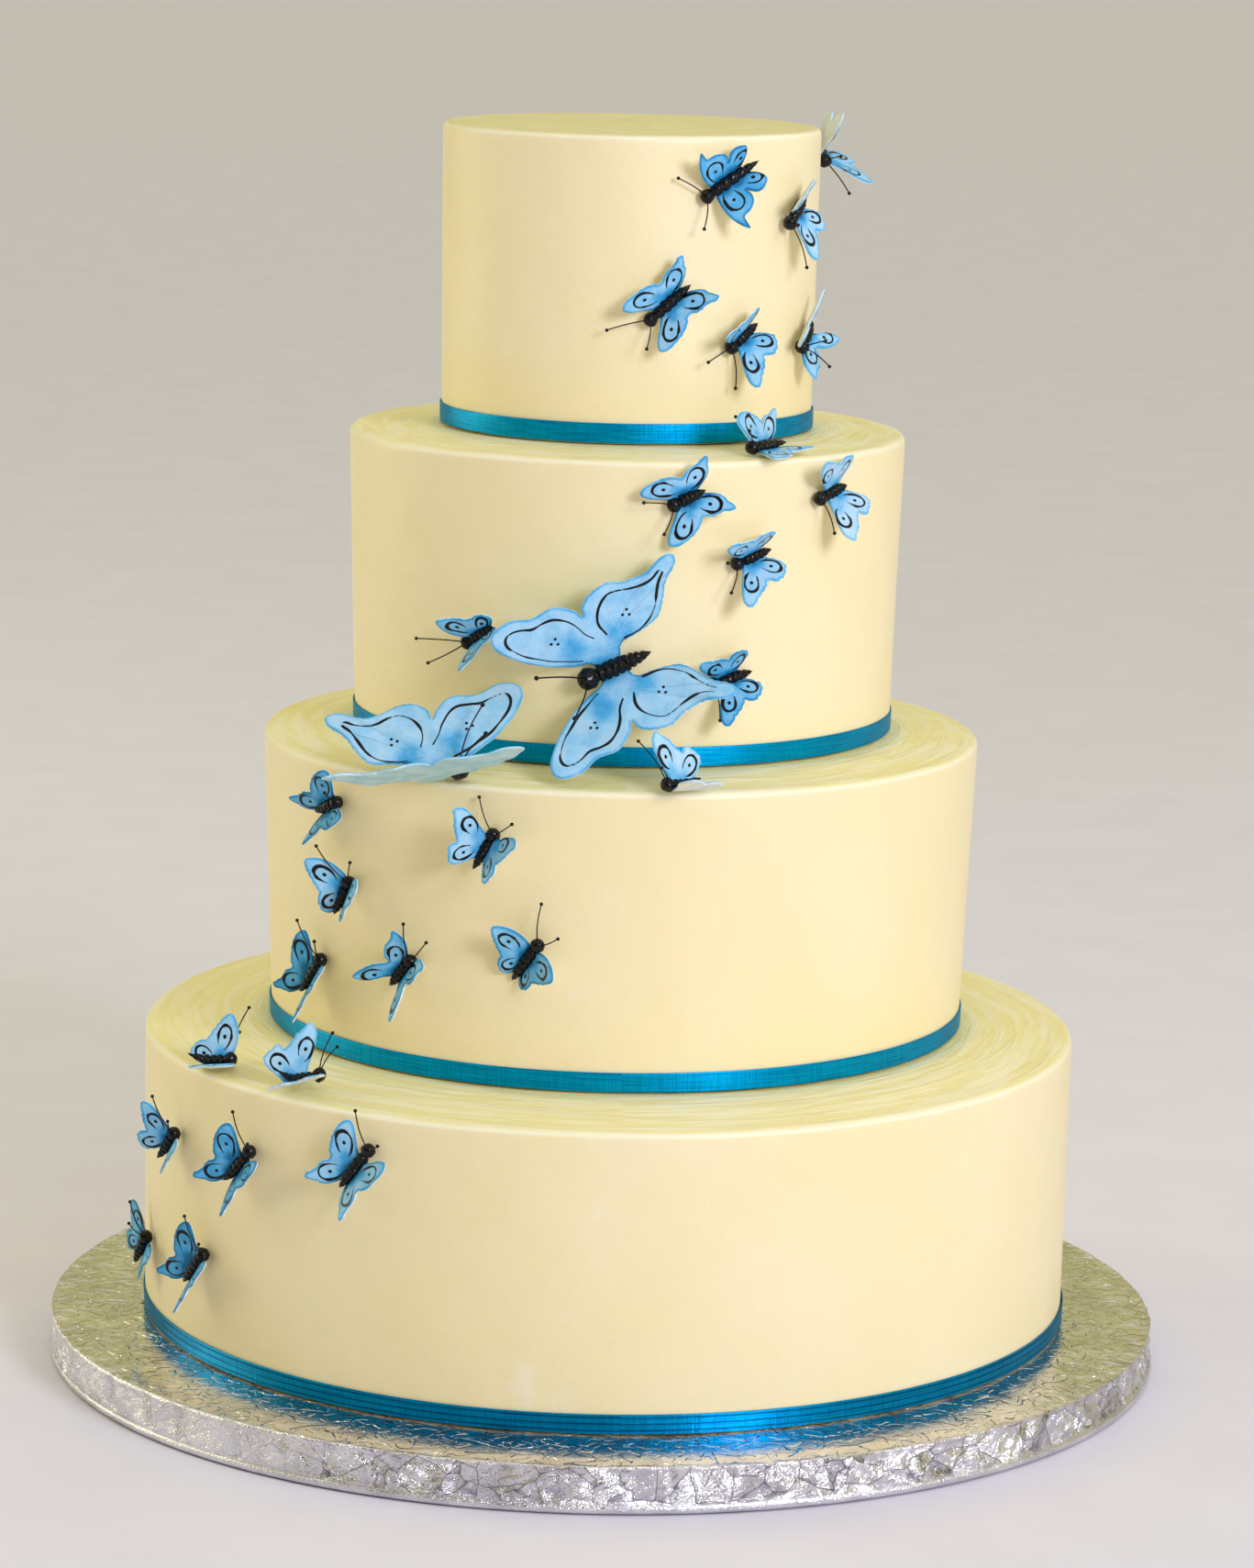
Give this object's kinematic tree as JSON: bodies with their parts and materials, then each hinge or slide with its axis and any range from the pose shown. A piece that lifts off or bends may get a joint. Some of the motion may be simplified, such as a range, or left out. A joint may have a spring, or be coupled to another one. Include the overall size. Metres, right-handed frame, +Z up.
{
  "type": "tiered wedding cake",
  "caption": "Round tiered wedding cake in smooth cream icing with blue ribbons and a trail of blue sugar butterflies, standing on a round silver foil board.",
  "frame": {"origin": "centre of the underside of the cake board", "axes": "+Z up through the tiers, -Y towards the front of the cake, +X to the right of somebody who looks at the front"},
  "size_m": [0.4558, 0.457, 0.5092],
  "materials": {
    "icing": "smooth rolled sugar icing in pale butter cream, slightly satin",
    "ribbon": "narrow satin ribbon in teal blue",
    "foil": "silver foil paper with an embossed fern pattern, crinkled round the edge",
    "wing_paste": "white flower paste dusted blue, with painted black outlines",
    "body_paste": "glossy black paste with black wire feelers"
  },
  "bodies": {
    "root": {"board": "foil", "tier_1": "icing", "ribbon_1": "ribbon", "tier_2": "icing", "ribbon_2": "ribbon", "tier_3": "icing", "ribbon_3": "ribbon", "tier_4": "icing", "ribbon_4": "ribbon", "butterfly_01": "wing_paste", "butterfly_02": "wing_paste", "butterfly_03": "wing_paste", "butterfly_04": "wing_paste", "butterfly_05": "wing_paste", "butterfly_06": "wing_paste", "butterfly_07": "wing_paste", "butterfly_08": "wing_paste", "butterfly_09": "wing_paste", "butterfly_10": "wing_paste", "butterfly_11": "wing_paste", "butterfly_13": "wing_paste", "butterfly_14": "wing_paste", "butterfly_16": "wing_paste", "butterfly_17": "wing_paste", "butterfly_18": "wing_paste", "butterfly_19": "wing_paste", "butterfly_20": "wing_paste", "butterfly_21": "wing_paste", "butterfly_22": "wing_paste", "butterfly_23": "wing_paste", "butterfly_24": "wing_paste", "butterfly_25": "wing_paste", "butterfly_26": "wing_paste", "butterfly_27": "wing_paste", "butterfly_28": "wing_paste", "butterfly_12_body": "body_paste", "butterfly_12_wing_left": "wing_paste", "butterfly_12_wing_right": "wing_paste", "butterfly_15_body": "body_paste", "butterfly_15_wing_left": "wing_paste", "butterfly_15_wing_right": "wing_paste"}
  },
  "joints": []
}
